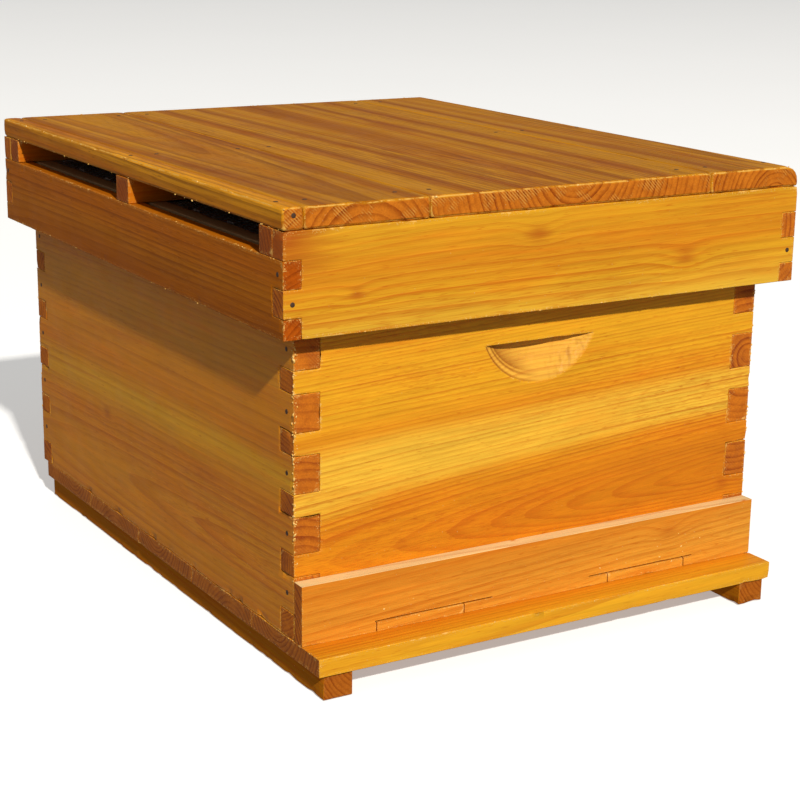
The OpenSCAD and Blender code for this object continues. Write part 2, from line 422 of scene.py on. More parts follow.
@dataclass(frozen=True)
class Timber:
    """How one board was sawn from its log, and what colours that shows.

    pith is a point on the middle of the log, in metres, and lean is how far the middle
    shifts along the two axes across the grain for each metre of board. zones holds the
    colours from the pith outwards, each with the distance in metres where it lies, and
    reach is the farthest distance that they cover. sway, waver and ripple are how far
    the rings stray from round, from the broadest bends to the finest.
    """

    grain: Axis
    pith: Place
    lean: tuple[float, float]
    zones: Zones
    palette: Palette = Palette()
    ring: float = 0.0055
    unevenness: float = 1.6
    saw_pitch: float = 2.6 * MM
    sway: float = 0.012
    waver: float = 2.2 * MM
    ripple: float = 0.6 * MM
    reach: float = 0.30
    knots: tuple[Knot, ...] = ()
    marks: Marks = Marks()

    def _distance(self, graph: Graph, place: Signal) -> tuple[Signal, Signal, Signal, Signal, Vector]:
        """The distance from the pith, with the three places it is worked out from.

        Args:
            graph: The material's graph.
            place: The piece's own coordinates.

        Returns:
            Distance from the pith, the two places across the grain, the place along it,
            and the pith's direction.
        """
        across_a, across_b = self.grain.others()
        pith = (self.grain.unit() + self.lean[0] * across_a + self.lean[1] * across_b).normalized()
        side = (across_a - across_a.dot(pith) * pith).normalized()
        out = pith.cross(side)
        offset = graph.vector("SUBTRACT", place, Vector(self.pith))
        u, v, w = graph.dot(offset, side), graph.dot(offset, out), graph.dot(offset, pith)
        stretched = graph.join(u, v, w * 0.07)
        finer = graph.join(u, v, w * 0.05)
        distance = graph.length(graph.join(u, v, 0.0))
        distance = distance + (graph.noise(stretched, self.marks.bend, 1.0) - 0.5) * self.sway
        distance = distance + (graph.noise(stretched, self.marks.waver) - 0.5) * self.waver
        distance = distance + (graph.noise(finer, self.marks.ripple) - 0.5) * self.ripple
        for knot in self.knots:
            away = self._from_knot(graph, place, knot) / (knot.radius * 2.2)
            distance = distance + (away * away * -1.0).exp() * (knot.radius * knot.swirl)
        return distance, u, v, w, pith

    def _from_knot(self, graph: Graph, place: Signal, knot: Knot) -> Signal:
        """The distance from a knot's own axis, drawn out a little along the grain."""
        flat = Vector([0.0 if i == knot.into.value else 1.0 for i in range(3)])
        flat[self.grain.value] = 0.6
        offset = graph.vector("SUBTRACT", place, Vector(knot.at))
        return graph.length(graph.vector("MULTIPLY", offset, flat))

    def _figure(self, graph: Graph) -> Figure:
        """The rings, fibres and patches of the board."""
        marks = self.marks
        place = graph.coordinates()
        distance, u, v, w, pith = self._distance(graph, place)

        def drawn(along: float, cells: float, detail: float, rough: float = 0.5) -> Signal:
            """Noise that is drawn out along the grain."""
            return graph.noise(graph.join(u, v, w * along), cells, detail, rough)

        uneven = graph.noise(graph.join(distance, 0.0, 0.0), marks.uneven, 1.0) * self.unevenness
        count = distance / self.ring + uneven
        within = count.fraction()
        strong = graph.add(
            "ShaderNodeTexWhiteNoise", {"noise_dimensions": "1D"}, {"W": count.whole()}, "Value"
        )
        patch = drawn(0.12, marks.patch, 3.0)
        late = within.step(0.35, 0.95) * (1.0 - within.step(0.955, 1.0)) * (strong * 0.75 + 0.25)
        thread = (drawn(0.02, marks.thread, 2.0) - 0.5).size() * 2.0
        return Figure(
            place=place,
            distance=distance,
            end_grain=graph.dot(graph.coordinates("Normal"), pith).size().step(0.72, 0.93),
            late=late * (patch.step(0.33, 0.60) * 0.45 + 0.55),
            patch=patch,
            band=graph.noise(graph.join(distance, w * 0.05, 0.0), marks.band, 3.0, 0.6),
            mottle=drawn(0.16, marks.mottle, 4.0, 0.6),
            streak=drawn(0.035, marks.streak, 3.0, 0.6),
            fibre=drawn(0.012, marks.fibre, 2.0, 0.6),
            thread=1.0 - thread.step(0.0, 0.11),
            dash=drawn(0.10, marks.dash, 1.0).step(0.66, 0.76),
            scuff=graph.noise(place, marks.scuff, 3.0, 0.65),
        )

    def _faces(self, graph: Graph, figure: Figure) -> Signal:
        """The colour of the faces along the grain."""
        look = self.palette
        stops = [(min(at / self.reach, 1.0), colour) for at, colour in self.zones]
        zone_at = figure.distance / self.reach + (figure.patch - 0.5) * 0.06
        colour = graph.add("ShaderNodeValToRGB", {"stops": stops}, {"Fac": zone_at})
        faint = figure.thread * figure.patch.step(0.35, 0.6) * 0.42 + figure.dash * 0.45
        return graph.layers(
            colour,
            (figure.band.step(0.52, 0.70) * look.band_share, look.warm),
            (figure.mottle.step(0.50, 0.72) * look.warm_share, look.warm),
            (figure.late * look.late_share, look.late),
            (faint, look.late),
        )

    def _ends(self, graph: Graph, figure: Figure) -> Signal:
        """The colour of the end grain, with the marks of the saw."""
        look = self.palette
        speck = graph.noise(figure.place, self.marks.speck, 2.0, 0.7)
        ring = figure.late * 0.85 + (figure.streak - 0.5) * 0.6 + (figure.mottle - 0.5) * 1.8 + 0.20
        across_a, across_b = self.grain.others()
        slant = graph.dot(figure.place, across_a + across_b) / self.saw_pitch + (speck - 0.5) * 0.5
        cut = slant.fraction().step(0.45, 0.8) * figure.mottle.step(0.50, 0.62) * look.sawn
        colour = graph.mix(ring.higher(0.0).lower(1.0), look.end_light, look.end_dark)
        return graph.mix(cut, graph.scaled(colour, 0.66 + speck * 0.68), look.worn)

    def material(self, name: str) -> bpy.types.Material:
        """Makes the board's material.

        Args:
            name: The material's name.

        Returns:
            The material, with rings, fibres, end grain, knots, wax and worn edges.
        """
        look, marks = self.palette, self.marks
        graph = Graph(name)
        figure = self._figure(graph)
        place, late, streak, fibre = figure.place, figure.late, figure.streak, figure.fibre
        mottle, scuff = figure.mottle - 0.5, figure.scuff
        tone = 0.66 + streak * 0.40 + fibre * 0.16 + mottle * 0.30
        colour = graph.scaled(self._faces(graph, figure), tone)
        colour = graph.mix(figure.end_grain, colour, self._ends(graph, figure))
        for knot in self.knots:
            away = self._from_knot(graph, place, knot) / knot.radius
            heart = 1.0 - (away + (streak - 0.5) * 1.8 + mottle * 1.2).step(-0.2, 1.6)
            colour = graph.mix(heart * knot.depth, colour, look.knot)

        fresh = graph.mix(late * 0.35 + figure.dash * 0.3, look.fresh, look.late)
        edge = graph.attribute("worn")
        bare = (edge * 0.70 + scuff * 0.80).step(look.bare_from, look.bare_from + 0.14)
        flake = graph.noise(place, marks.flake, 1.0).step(0.60, 0.66)
        flake = flake * (edge + scuff * 0.6).step(0.75, 1.15)
        dirt = graph.noise(place, marks.dirt, 2.0, 0.7).step(0.70, 0.78) * scuff.step(0.42, 0.62)
        wax = graph.noise(place, marks.wax, 1.0).step(0.755, 0.80) * figure.patch.step(0.4, 0.6)
        colour = graph.layers(
            colour,
            (graph.attribute("fresh"), graph.scaled(fresh, tone)),
            # This layer paints shade and dark torn fibre in the handhold's bowl.
            (graph.attribute("groove"), look.groove),
            (bare.higher(flake) * look.worn_share, look.worn),
            (dirt * look.dirt, look.groove),
            (wax * 0.45, look.crumb),
        )
        grime = graph.noise(place, marks.grime, 4.0, 0.6)
        rough = look.roughness + (grime - 0.5) * 0.30 + figure.end_grain * 0.18 + bare * 0.2
        rough = rough + (fibre - 0.5) * 0.20 - wax * 0.2
        height = fibre * 0.55 + late * 0.45 + streak * 0.5 + scuff * 0.25 + (flake + wax) * 0.6
        bump = graph.bump(height, 0.5, 0.6 * MM)
        return graph.finish(Base_Color=colour, Roughness=rough, Normal=bump,
                            Specular_IOR_Level=look.gloss)


@dataclass(frozen=True)
class Steel:
    """Drawn steel wire and nail heads, with patches of dull oxide."""

    bright: Colour = (0.11, 0.055, 0.028)
    dull: Colour = (0.05, 0.020, 0.008)
    roughness: float = 0.5
    metallic: float = 0.6

    def material(self, name: str) -> bpy.types.Material:
        """Makes the metal's material."""
        graph = Graph(name)
        place = graph.coordinates()
        blotch = graph.noise(place, 420.0, 3.0, 0.6)
        fine = graph.noise(place, 2600.0, 2.0)
        rust = blotch.step(0.42, 0.66)
        colour = graph.mix(rust, self.bright, self.dull)
        rough = self.roughness + rust * 0.25 + (fine - 0.5) * 0.2
        bump = graph.bump(fine, 0.25, 0.1 * MM)
        metal = self.metallic - rust * 0.5
        return graph.finish(Base_Color=colour, Roughness=rough, Metallic=metal, Normal=bump)


@dataclass(frozen=True)
class Beeswax:
    """Pressed wax foundation: a hexagon pattern of cell bases."""

    wax: Colour = (0.80, 0.52, 0.10)
    rim: Colour = (0.88, 0.66, 0.22)
    cell: float = 5.3 * MM

    def material(self, name: str) -> bpy.types.Material:
        """Makes the wax material, with cells over the sheet's Y and Z."""
        graph = Graph(name)
        place = graph.coordinates()
        flat = graph.vector("MULTIPLY", place, Vector((0.0, 1.0, 1.0)))
        pitch = Vector((1.0, self.cell, self.cell * math.sqrt(3.0)))
        cells = graph.vector("DIVIDE", flat, pitch)
        half = Vector((0.5, 0.5, 0.5))
        middle = Vector((0.0, 0.5, 0.5))
        walls = []
        for shift in (Vector((0.0, 0.0, 0.0)), middle):
            moved = graph.vector("FRACTION", graph.vector("ADD", cells, shift))
            local = graph.vector("MULTIPLY", graph.vector("SUBTRACT", moved, half), pitch)
            local = graph.vector("ABSOLUTE", graph.vector("MULTIPLY", local, Vector((0.0, 1.0, 1.0))))
            flat_side = graph.dot(local, Vector((0.0, 1.0, 0.0)))
            slant_side = graph.dot(local, Vector((0.0, 0.5, math.sqrt(3.0) / 2.0)))
            walls.append(flat_side.higher(slant_side) / (self.cell / 2.0))
        edge = walls[0].lower(walls[1])
        wall = edge.step(0.72, 0.92)
        cloud = graph.noise(place, 30.0, 3.0)
        colour = graph.mix(wall * 0.8, graph.mix(cloud * 0.35, self.wax, self.rim), self.rim)
        height = wall * 0.8 - edge * 0.4 * (1.0 - wall)
        bump = graph.bump(height, 0.9, 0.8 * MM)
        return graph.finish(Base_Color=colour, Roughness=0.38 + cloud * 0.2, Normal=bump,
                            Subsurface_Weight=0.15, Subsurface_Radius=(0.004, 0.002, 0.001))


# Colours of waxed fir, from the pale sapwood to the red heart
STRAW: Colour = (0.87, 0.49, 0.040)
HONEY: Colour = (0.81, 0.385, 0.014)
AMBER: Colour = (0.77, 0.295, 0.010)
COPPER: Colour = (0.75, 0.250, 0.007)
RUSSET: Colour = (0.64, 0.185, 0.005)
UMBER: Colour = (0.42, 0.120, 0.003)
OCHRE: Colour = (0.70, 0.290, 0.009)
TAWNY: Colour = (0.57, 0.195, 0.005)
CHESTNUT: Colour = (0.69, 0.215, 0.006)
SIENNA: Colour = (0.56, 0.145, 0.004)
CINNAMON: Colour = (0.54, 0.165, 0.005)
BISTRE: Colour = (0.40, 0.10, 0.003)
RUDDY: Colour = (0.69, 0.225, 0.014)
DUSTY: Colour = (0.77, 0.335, 0.032)
PINE: Colour = (0.66, 0.42, 0.19)
PINE_DARK: Colour = (0.54, 0.30, 0.11)


class Hive:
    """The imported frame: where each node is, and the body and finish it belongs to."""

    def __init__(self, frame: dict) -> None:
        """Reads the frame.
        """
        self.nodes: dict[str, bpy.types.Object] = frame["nodes"]
        record = frame["record"]
        self.body = {n: body for body, nodes in record["behaviour"]["bodies"].items() for n in nodes}
        self.slots = {row["node"]: row["material_slot"] for row in record["subparts"]}

    def merged(self, node: str) -> bmesh.types.BMesh:
        """A copy of a node's mesh with its triangles joined into whole faces."""
        bm = bmesh.new()
        bm.from_mesh(self.nodes[node].data)
        bmesh.ops.remove_doubles(bm, verts=bm.verts, dist=0.01 * MM)
        bmesh.ops.dissolve_limit(bm, angle_limit=math.radians(0.5), verts=bm.verts, edges=bm.edges)
        return bm

    def place(
        self, bm: bmesh.types.BMesh, name: str, node: str, *finishes: bpy.types.Material, slot: str = ""
    ) -> bpy.types.Object:
        """Makes a finished piece that stands for a node.

        Args:
            bm: The piece's mesh, which is freed.
            name: The piece's name.
            node: The node that it replaces and rides with.
            finishes: Its materials.
            slot: Not used.

        Returns:
            The new object.
        """
        piece = meshed(bm, name, *finishes)
        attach(piece, self.body[node])
        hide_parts(node)
        return piece


@dataclass
class Planing:
    """How boards are worked: edges eased, then worn and chipped by handling."""

    ease: float = 0.6 * MM
    grid: float = 6.0 * MM
    dent: float = 0.18 * MM
    chip: float = 2.2 * MM
    warp: float = 0.12 * MM
    chip_from: float = 0.34
    segments: int = 2
    outline: tuple[float, float] = (0.0, 0.0)
    sheltered: float = 0.25

    def work(self, bm: bmesh.types.BMesh, seed: float) -> bmesh.types.BMesh:
        """Eases, divides and wears a board.

        Args:
            bm: The board with whole faces.
            seed: Where in the noise the board lies.

        Returns:
            The same mesh, with three attributes: worn, fresh, and one for painted shade and dark torn
                fibre.
        """
        bevel(bm, sharp_edges(bm, 20), self.ease, self.segments)
        self.divide(bm, self.grid)
        self.wear(bm, seed)
        self.smooth(bm)
        return bm

    def divide(self, bm: bmesh.types.BMesh, step: float) -> None:
        """Cuts the faces along an even grid, so that they can follow wear."""
        for axis in Axis:
            places = [v.co[axis.value] for v in bm.verts]
            low, high = min(places), max(places)
            count = max(1, round((high - low) / step))
            for i in range(1, count):
                at = axis.unit() * (low + (high - low) * i / count)
                geom = bm.verts[:] + bm.edges[:] + bm.faces[:]
                bmesh.ops.bisect_plane(bm, geom=geom, dist=0.02 * MM, plane_co=at, plane_no=axis.unit())

    def wear(self, bm: bmesh.types.BMesh, seed: float) -> None:
        """Dents the edges, chips them here and there, and warps the faces slightly."""
        worn = bm.verts.layers.float.new("worn")
        bm.verts.layers.float.new("fresh")
        bm.verts.layers.float.new("groove")
        bm.normal_update()
        shift = Vector((seed * 3.1, seed * 7.7, seed * 1.3))
        moves = []
        for vert in bm.verts:
            upright = max(abs(c) for c in vert.normal)
            at = vert.co + shift
            move = self.warp * noise.noise(at * 14.0)
            if upright < 0.985:
                outer = abs(vert.co.x) > self.outline[0] or abs(vert.co.y) > self.outline[1]
                use = 1.0 if outer else self.sheltered
                nick = use * max(0.0, noise.noise(at * 95.0) - self.chip_from)
                rub = use * (0.5 + 0.5 * noise.noise(at * 40.0))
                vert[worn] = min(1.0, 0.62 * use + 0.5 * rub + nick * 3.0)
                move -= self.dent * rub + self.chip * nick
            moves.append(move)
        for vert, move in zip(bm.verts, moves):
            vert.co += vert.normal * move

    def smooth(self, bm: bmesh.types.BMesh) -> None:
        """Shades the rounded faces smooth and the flat ones flat."""
        bm.normal_update()
        for face in bm.faces:
            face.smooth = max(abs(c) for c in face.normal) < 0.995


@dataclass
class Board:
    """One board: the node it stands for, how it was sawn, and how it is worked."""

    node: str
    timber: Timber
    planing: Planing = field(default_factory=Planing)

    def make(self, hive: Hive, seed: float) -> bpy.types.Object:
        """Makes the board.

        Args:
            hive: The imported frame.
            seed: Where in the noise the board lies.

        Returns:
            The board's object.
        """
        bm = hive.merged(self.node)
        self.shape(bm)
        self.planing.work(bm, seed)
        self.dress(bm)
        return hive.place(bm, f"{self.node}_timber", self.node, self.timber.material(self.node))

    def shape(self, bm: bmesh.types.BMesh) -> None:
        """Changes the board's outline before it is worked; a plain board stays as it is."""

    def dress(self, bm: bmesh.types.BMesh) -> None:
        """Adds what is done after working; a plain board has nothing."""


@dataclass
class HandholdBoard(Board):
    """A box end board, with the cutter's steps in its handhold.

    steps are how far inside the outline the cutter left a step, shades how much painted shade
    darkens the wood past each, and shade_reach how far that carries. The dark line along each step
    and that darkening are painted shade, laid on the side of the bowl that faces away from the light.
    """

    ledge_z: float = 0.2335
    width: float = 0.099
    height: float = 0.033
    deep: float = 0.012
    steps: tuple[float, ...] = (0.0012, 0.0058, 0.0086)
    shades: tuple[float, ...] = (0.0, 0.2, 0.75)
    shade_reach: float = 7.0 * MM
    step_depth: float = 0.9 * MM
    # Width of the dark line of painted shade along each step.
    groove: float = 1.0 * MM
    freshness: float = 0.45
    cell: float = 0.8 * MM
    torn: float = 0.35 * MM

    def dress(self, bm: bmesh.types.BMesh) -> None:
        """Divides the bowl finely, cuts the cutter's steps, marks the wood as fresh and paints shade in
        it.
        """
        low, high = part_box(self.node)
        front = self.node == "box_front_board"
        face_y = low.y if front else high.y
        inward = 1.0 if front else -1.0
        rim = ((self.width / 2) ** 2 + self.height**2) / (2 * self.height)
        centre_z = self.ledge_z - self.height + rim

        def inset(place: Vector) -> float:
            """How far inside the bowl's round outline a place is."""
            return rim - math.hypot(place.x, place.z - centre_z)

        def in_bowl(place: Vector) -> bool:
            """Whether a place is under the board's face, inside the bowl."""
            sunk = (place.y - face_y) * inward
            under = 0.3 * MM < sunk < self.deep + MM
            return under and inset(place) > -0.5 * MM and place.z < self.ledge_z + MM

        self.refine([f for f in bm.faces if in_bowl(f.calc_center_median())], bm)
        layers = bm.verts.layers.float
        fresh, groove, worn = layers["fresh"], layers["groove"], layers["worn"]
        for vert in bm.verts:
            if not in_bowl(vert.co) or vert.co.z > self.ledge_z - 0.7 * MM:
                continue
            away = inset(vert.co)
            vert[worn] = 0.2
            vert[fresh] = self.freshness * min(1.0, max(0.0, away / (2.0 * MM)))
            # side is the bowl's left part, which faces away from the key light; painted shade is laid
            # there.
            side = 0.28 - vert.co.x * inward * 22.0 + 0.4 * noise.noise(vert.co * 60.0)
            side = min(1.0, max(0.0, side))
            rough = min(1.0, max(0.0, vert.co.x * inward * 25.0))
            ripple = noise.noise(Vector((vert.co.x * 700.0, 0.0, vert.co.z * 350.0)))
            sink = self.torn * rough * ripple
            # Dark torn fibre on the bowl's right part: the wood's own colour.
            tears = max(0.0, noise.noise(Vector((vert.co.x * 260.0, 0.0, vert.co.z * 130.0))) - 0.1)
            vert[groove] = rough * tears
            # Painted shade: a dark line along each step, and darker wood past the later steps, on the
            # shaded side.
            for step, shade in zip(self.steps, self.shades):
                sink += self.step_depth * side / (1.0 + math.exp((step - away) / (0.3 * MM)))
                line = 0.8 * math.exp(-(((away - step) / self.groove) ** 2))
                if away > step:
                    line = max(line, shade * math.exp(-(away - step) / self.shade_reach))
                vert[groove] = max(vert[groove], side * line)
            vert.co.y += inward * sink
        self.planing.smooth(bm)

    def refine(self, inside: list[bmesh.types.BMFace], bm: bmesh.types.BMesh) -> None:
        """Cuts the bowl's faces into a fine even grid.

        Args:
            inside: The faces of the bowl.
            bm: The board's mesh.
        """
        geom = [*inside, *{e for f in inside for e in f.edges}, *{v for f in inside for v in f.verts}]
        spans = (
            (Axis.X, -self.width / 2, self.width / 2),
            (Axis.Z, self.ledge_z - self.height, self.ledge_z),
        )
        for axis, low, high in spans:
            count = round((high - low) / self.cell)
            for i in range(1, count):
                at = axis.unit() * (low + (high - low) * i / count)
                cut = bmesh.ops.bisect_plane(
                    bm, geom=geom, dist=0.02 * MM, plane_co=at, plane_no=axis.unit()
                )
                geom = cut["geom"]


@dataclass
class StripBoard(Board):
    """The entrance strip, whose top edge is sawn and not waxed."""

    def dress(self, bm: bmesh.types.BMesh) -> None:
        """Marks the top edge as fresh wood."""
        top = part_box(self.node)[1].z
        fresh, worn = bm.verts.layers.float["fresh"], bm.verts.layers.float["worn"]
        for vert in bm.verts:
            if vert.co.z > top - 1.2 * MM:
                vert[worn] = 0.0
            if vert.co.z > top - 0.25 * MM:
                vert[fresh] = 1.0


@dataclass
class WanePlank(Board):
    """The lid's right-hand plank, whose outer top edge keeps the round of the tree."""

    round_by: float = 12.0 * MM

    def shape(self, bm: bmesh.types.BMesh) -> None:
        """Rounds the outer top edge."""
        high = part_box(self.node)[1]
        edges = [
            e for e in bm.edges
            if all(abs(v.co.x - high.x) < MM and abs(v.co.z - high.z) < MM for v in e.verts)
        ]
        bevel(bm, edges, self.round_by, 5)


def dimmed(zones: Zones, share: float) -> Zones:
    """The same zones with every colour darker, as older wax is."""
    return tuple((at, tuple(share * part for part in colour)) for at, colour in zones)


def fir(
    grain: Axis, pith: Place, lean: tuple[float, float] = (0.01, 0.015),
    zones: Zones = ((0.0, RUSSET), (0.06, AMBER), (0.14, HONEY), (0.3, AMBER)),
    **more: object,
) -> Timber:
    """A waxed fir board.

    Args:
        grain: The axis of its grain.
        pith: A point on the log's middle.
        lean: The slope of the log's middle.
        zones: Its colours from the pith outwards.
        more: Other fields of Timber.

    Returns:
        How the board was sawn.
    """
    return Timber(grain, pith, lean, zones, **more)


@dataclass
class BroodBox:
    """The four finger-jointed boards of the box."""

    pith_depth: float = 0.022
    pith_z: float = 0.097

    def boards(self) -> list[Board]:
        """The four boards, each from its own log."""
        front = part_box("box_front_board")[0]
        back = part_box("box_back_board")[1]
        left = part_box("box_left_board")[0]
        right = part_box("box_right_board")[1]
        front_zones = (
            (0.0, RUSSET), (0.028, CHESTNUT), (0.038, COPPER), (0.047, AMBER), (0.056, STRAW),
            (0.080, STRAW), (0.092, AMBER), (0.11, HONEY), (0.17, HONEY), (0.3, AMBER),
        )
        front_cut = fir(
            Axis.X, (0.0, front.y + self.pith_depth, self.pith_z), (-0.067, 0.045), front_zones,
            ring=0.0031, unevenness=3.2, sway=0.010,
            palette=Palette(late=(0.50, 0.095, 0.003), late_share=0.74),
            knots=(Knot((0.184, front.y, 0.094), 0.004, Axis.Y),),
        )
        left_zones = (
            (0.0, AMBER), (0.05, COPPER), (0.072, HONEY), (0.09, COPPER), (0.14, AMBER), (0.3, COPPER),
        )
        left_cut = fir(
            Axis.Y, (left.x + 0.016, 0.0, 0.075), (0.05, -0.02), left_zones, ring=0.0058,
            knots=(Knot((left.x, 0.10, 0.118), 0.005, Axis.X),),
        )
        back_cut = fir(Axis.X, (0.0, back.y - 0.05, 0.18), (0.06, -0.03), ring=0.006)
        right_cut = fir(
            Axis.Y, (right.x - 0.018, 0.0, 0.205), (-0.055, 0.03), left_zones, ring=0.0055,
            knots=(Knot((right.x, -0.12, 0.20), 0.006, Axis.X),),
        )
        return [
            HandholdBoard("box_front_board", front_cut, Planing(grid=5.0 * MM, chip_from=0.26)),
            HandholdBoard("box_back_board", back_cut, Planing(grid=5.0 * MM)),
            Board("box_left_board", left_cut, Planing(dent=0.3 * MM, chip=3.2 * MM, chip_from=0.22)),
            Board("box_right_board", right_cut),
        ]


@dataclass
class Stand:
    """The floor planks and the two skids."""

    planks: int = 5

    def boards(self) -> list[Board]:
        """The planks and skids, each from its own log."""
        found = []
        bright = (
            (0.0, COPPER), (0.02, HONEY), (0.03, COPPER), (0.042, AMBER), (0.05, COPPER),
            (0.075, HONEY), (0.11, COPPER), (0.3, AMBER),
        )
        dull = ((0.0, UMBER), (0.04, TAWNY), (0.08, UMBER), (0.3, TAWNY))
        plain = Palette(end_light=(0.48, 0.14, 0.012), end_dark=(0.26, 0.055, 0.004))
        for i in range(1, self.planks + 1):
            node = f"floor_plank_{i}"
            low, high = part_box(node)
            swing = math.sin(i * 2.4)
            pith = (0.0, (low.y + high.y) / 2 + 0.03 * swing, low.z - 0.02 + 0.05 * (i % 2))
            zones = bright if i == 1 else dull
            cut = fir(Axis.X, pith, (0.04 * swing, 0.02), zones, ring=0.0040, palette=plain)
            found.append(Board(node, cut))
        rough = Palette(
            end_light=(0.42, 0.115, 0.010), end_dark=(0.24, 0.050, 0.004), worn=(0.50, 0.20, 0.045),
            worn_share=0.45, warm_share=0.4, roughness=0.7, gloss=0.03, sawn=0.05, dirt=0.6,
        )
        sawn = Planing(ease=0.8 * MM, dent=0.5 * MM, warp=0.35 * MM, chip=3.0 * MM, chip_from=0.2)
        for side in ("left", "right"):
            low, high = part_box(f"skid_{side}")
            pith = ((low.x + high.x) / 2 + 0.03, 0.0, high.z + 0.02)
            cut = fir(Axis.Y, pith, zones=dull, ring=0.0030, palette=rough)
            found.append(Board(f"skid_{side}", cut, sawn))
        return found


@dataclass
class Entrance:
    """The strip in front of the entrance slot, and its two doors."""

    def boards(self) -> list[Board]:
        """The strip and the doors, all sawn from one board."""
        low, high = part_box("entrance_strip")
        zones = ((0.0, RUDDY), (0.05, DUSTY), (0.08, RUDDY), (0.11, DUSTY), (0.3, RUDDY))
        look = Palette(fresh=(0.86, 0.62, 0.28), warm_share=0.5, late_share=0.5)
        cut = fir(
            Axis.X, (0.05, high.y + 0.03, low.z - 0.02), (-0.03, 0.03), zones,
            ring=0.0042, palette=look,
            knots=(Knot((0.122, low.y, low.z + 0.034), 0.005, Axis.Y, 0.35, 1.2),),
        )
        planing = Planing(ease=0.35 * MM, grid=4.0 * MM, chip=1.4 * MM, dent=0.1 * MM)
        doors = [Board(f"entrance_door_{side}", cut, planing) for side in ("left", "right")]
        return [StripBoard("entrance_strip", cut, planing), *doors]


@dataclass
class Lid:
    """The lid's rim, battens and top planks."""

    def boards(self) -> list[Board]:
        """All the lid's boards."""
        return [*self.rim(), *self.battens(), *self.top()]

    def rim(self) -> list[Board]:
        """The four rim boards."""
        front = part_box("lid_front_board")[0]
        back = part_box("lid_back_board")[1]
        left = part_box("lid_left_board")[0]
        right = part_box("lid_right_board")[1]
        zones = (
            (0.0, RUSSET), (0.03, AMBER), (0.05, STRAW), (0.066, HONEY), (0.08, AMBER),
            (0.1, HONEY), (0.14, STRAW), (0.3, AMBER),
        )
        dark = (
            (0.0, SIENNA), (0.04, BISTRE), (0.055, CINNAMON), (0.07, SIENNA), (0.09, CINNAMON),
            (0.3, SIENNA),
        )
        aged = Palette(late=(0.30, 0.070, 0.002), warm=(0.42, 0.12, 0.004), late_share=0.75,
                       warm_share=0.6, gloss=0.04, end_light=(0.42, 0.080, 0.003),
                       end_dark=(0.22, 0.032, 0.001))
        knots = (
            Knot((-0.019, front.y, 0.319), 0.006, Axis.Y, 0.7, 0.9),
            Knot((0.117, front.y, 0.289), 0.006, Axis.Y, 0.6, 0.7),
            Knot((-0.169, front.y, 0.289), 0.004, Axis.Y, 0.8, 0.7),
            Knot((-0.222, front.y, 0.328), 0.020, Axis.Y, 0.95, 0.3),
        )
        return [
            Board("lid_front_board", fir(
                Axis.X, (-0.05, front.y + 0.05, 0.245), (0.02, 0.03), dimmed(zones, 0.88),
                ring=0.0044, knots=knots)),
            Board("lid_back_board", fir(
                Axis.X, (0.0, back.y - 0.06, 0.33), (0.03, -0.02), zones, ring=0.005)),
            Board("lid_left_board", fir(
                Axis.Y, (left.x + 0.04, 0.0, 0.25), (0.03, 0.02), dark, ring=0.0036, palette=aged)),
            Board("lid_right_board", fir(
                Axis.Y, (right.x - 0.05, 0.0, 0.30), (0.02, -0.03), zones, ring=0.005)),
        ]

    def battens(self) -> list[Board]:
        """The three cross battens."""
        found = []
        # The battens' dark zones and end grain are painted shade, for the shaded inside of the lid seen
        # through its gaps.
        zones = ((0.0, UMBER), (0.05, RUSSET), (0.3, UMBER))
        dark = Palette(end_light=(0.42, 0.095, 0.004), end_dark=(0.24, 0.040, 0.002))
        for i, where in enumerate(("front", "middle", "back")):
            node = f"lid_{where}_batten"
            low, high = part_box(node)
            pith = (0.0, (low.y + high.y) / 2 + 0.03, low.z - 0.02 * i)
            found.append(Board(node, fir(Axis.X, pith, zones=zones, ring=0.004, palette=dark)))
        return found

    def top(self) -> list[Board]:
        """The edge strip and the three planks of the top."""
        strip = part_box("lid_edge_strip")[0]
        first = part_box("lid_top_plank_1")[0]
        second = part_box("lid_top_plank_2")[1]
        third_low, third_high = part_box("lid_top_plank_3")
        zones = (
            (0.0, UMBER), (0.014, TAWNY), (0.024, OCHRE), (0.034, TAWNY), (0.04, OCHRE), (0.052, UMBER),
            (0.060, OCHRE), (0.078, OCHRE), (0.086, UMBER), (0.094, TAWNY), (0.10, OCHRE),
            (0.13, OCHRE), (0.14, UMBER), (0.16, OCHRE), (0.3, TAWNY),
        )
        planing = Planing(
            ease=2.0 * MM, grid=5.0 * MM, chip=3.4 * MM, chip_from=0.24, dent=0.5 * MM, segments=3,
            outline=(-strip.x - 8 * MM, -strip.y - 8 * MM),
        )
        look = Palette(
            late=(0.22, 0.045, 0.001), warm=(0.36, 0.085, 0.002), worn=(0.72, 0.39, 0.075), sawn=0.55,
            end_light=(0.56, 0.160, 0.010), end_dark=(0.26, 0.046, 0.002), late_share=0.62,
            warm_share=0.6, worn_share=0.85, bare_from=0.92, roughness=0.5, gloss=0.07, dirt=0.6,
        )
        zones = dimmed(zones, 0.93)
        return [
            Board("lid_edge_strip", fir(
                Axis.Y, (strip.x + 0.04, 0.0, strip.z - 0.03), (0.01, 0.015), dimmed(zones, 1.4),
                ring=0.004, palette=look), planing),
            Board("lid_top_plank_1", fir(
                Axis.Y, (first.x + 0.052, 0.0, first.z - 0.012), (0.012, 0.03), zones,
                ring=0.0062, palette=look), planing),
            Board("lid_top_plank_2", fir(
                Axis.Y, (0.014, 0.0, second.z + 0.008), (0.01, -0.028), zones,
                ring=0.0050, palette=look), planing),
            WanePlank("lid_top_plank_3", fir(
                Axis.Y, (third_high.x - 0.020, 0.0, third_low.z - 0.004), (0.012, 0.01), zones,
                ring=0.0042, palette=look), planing),
        ]


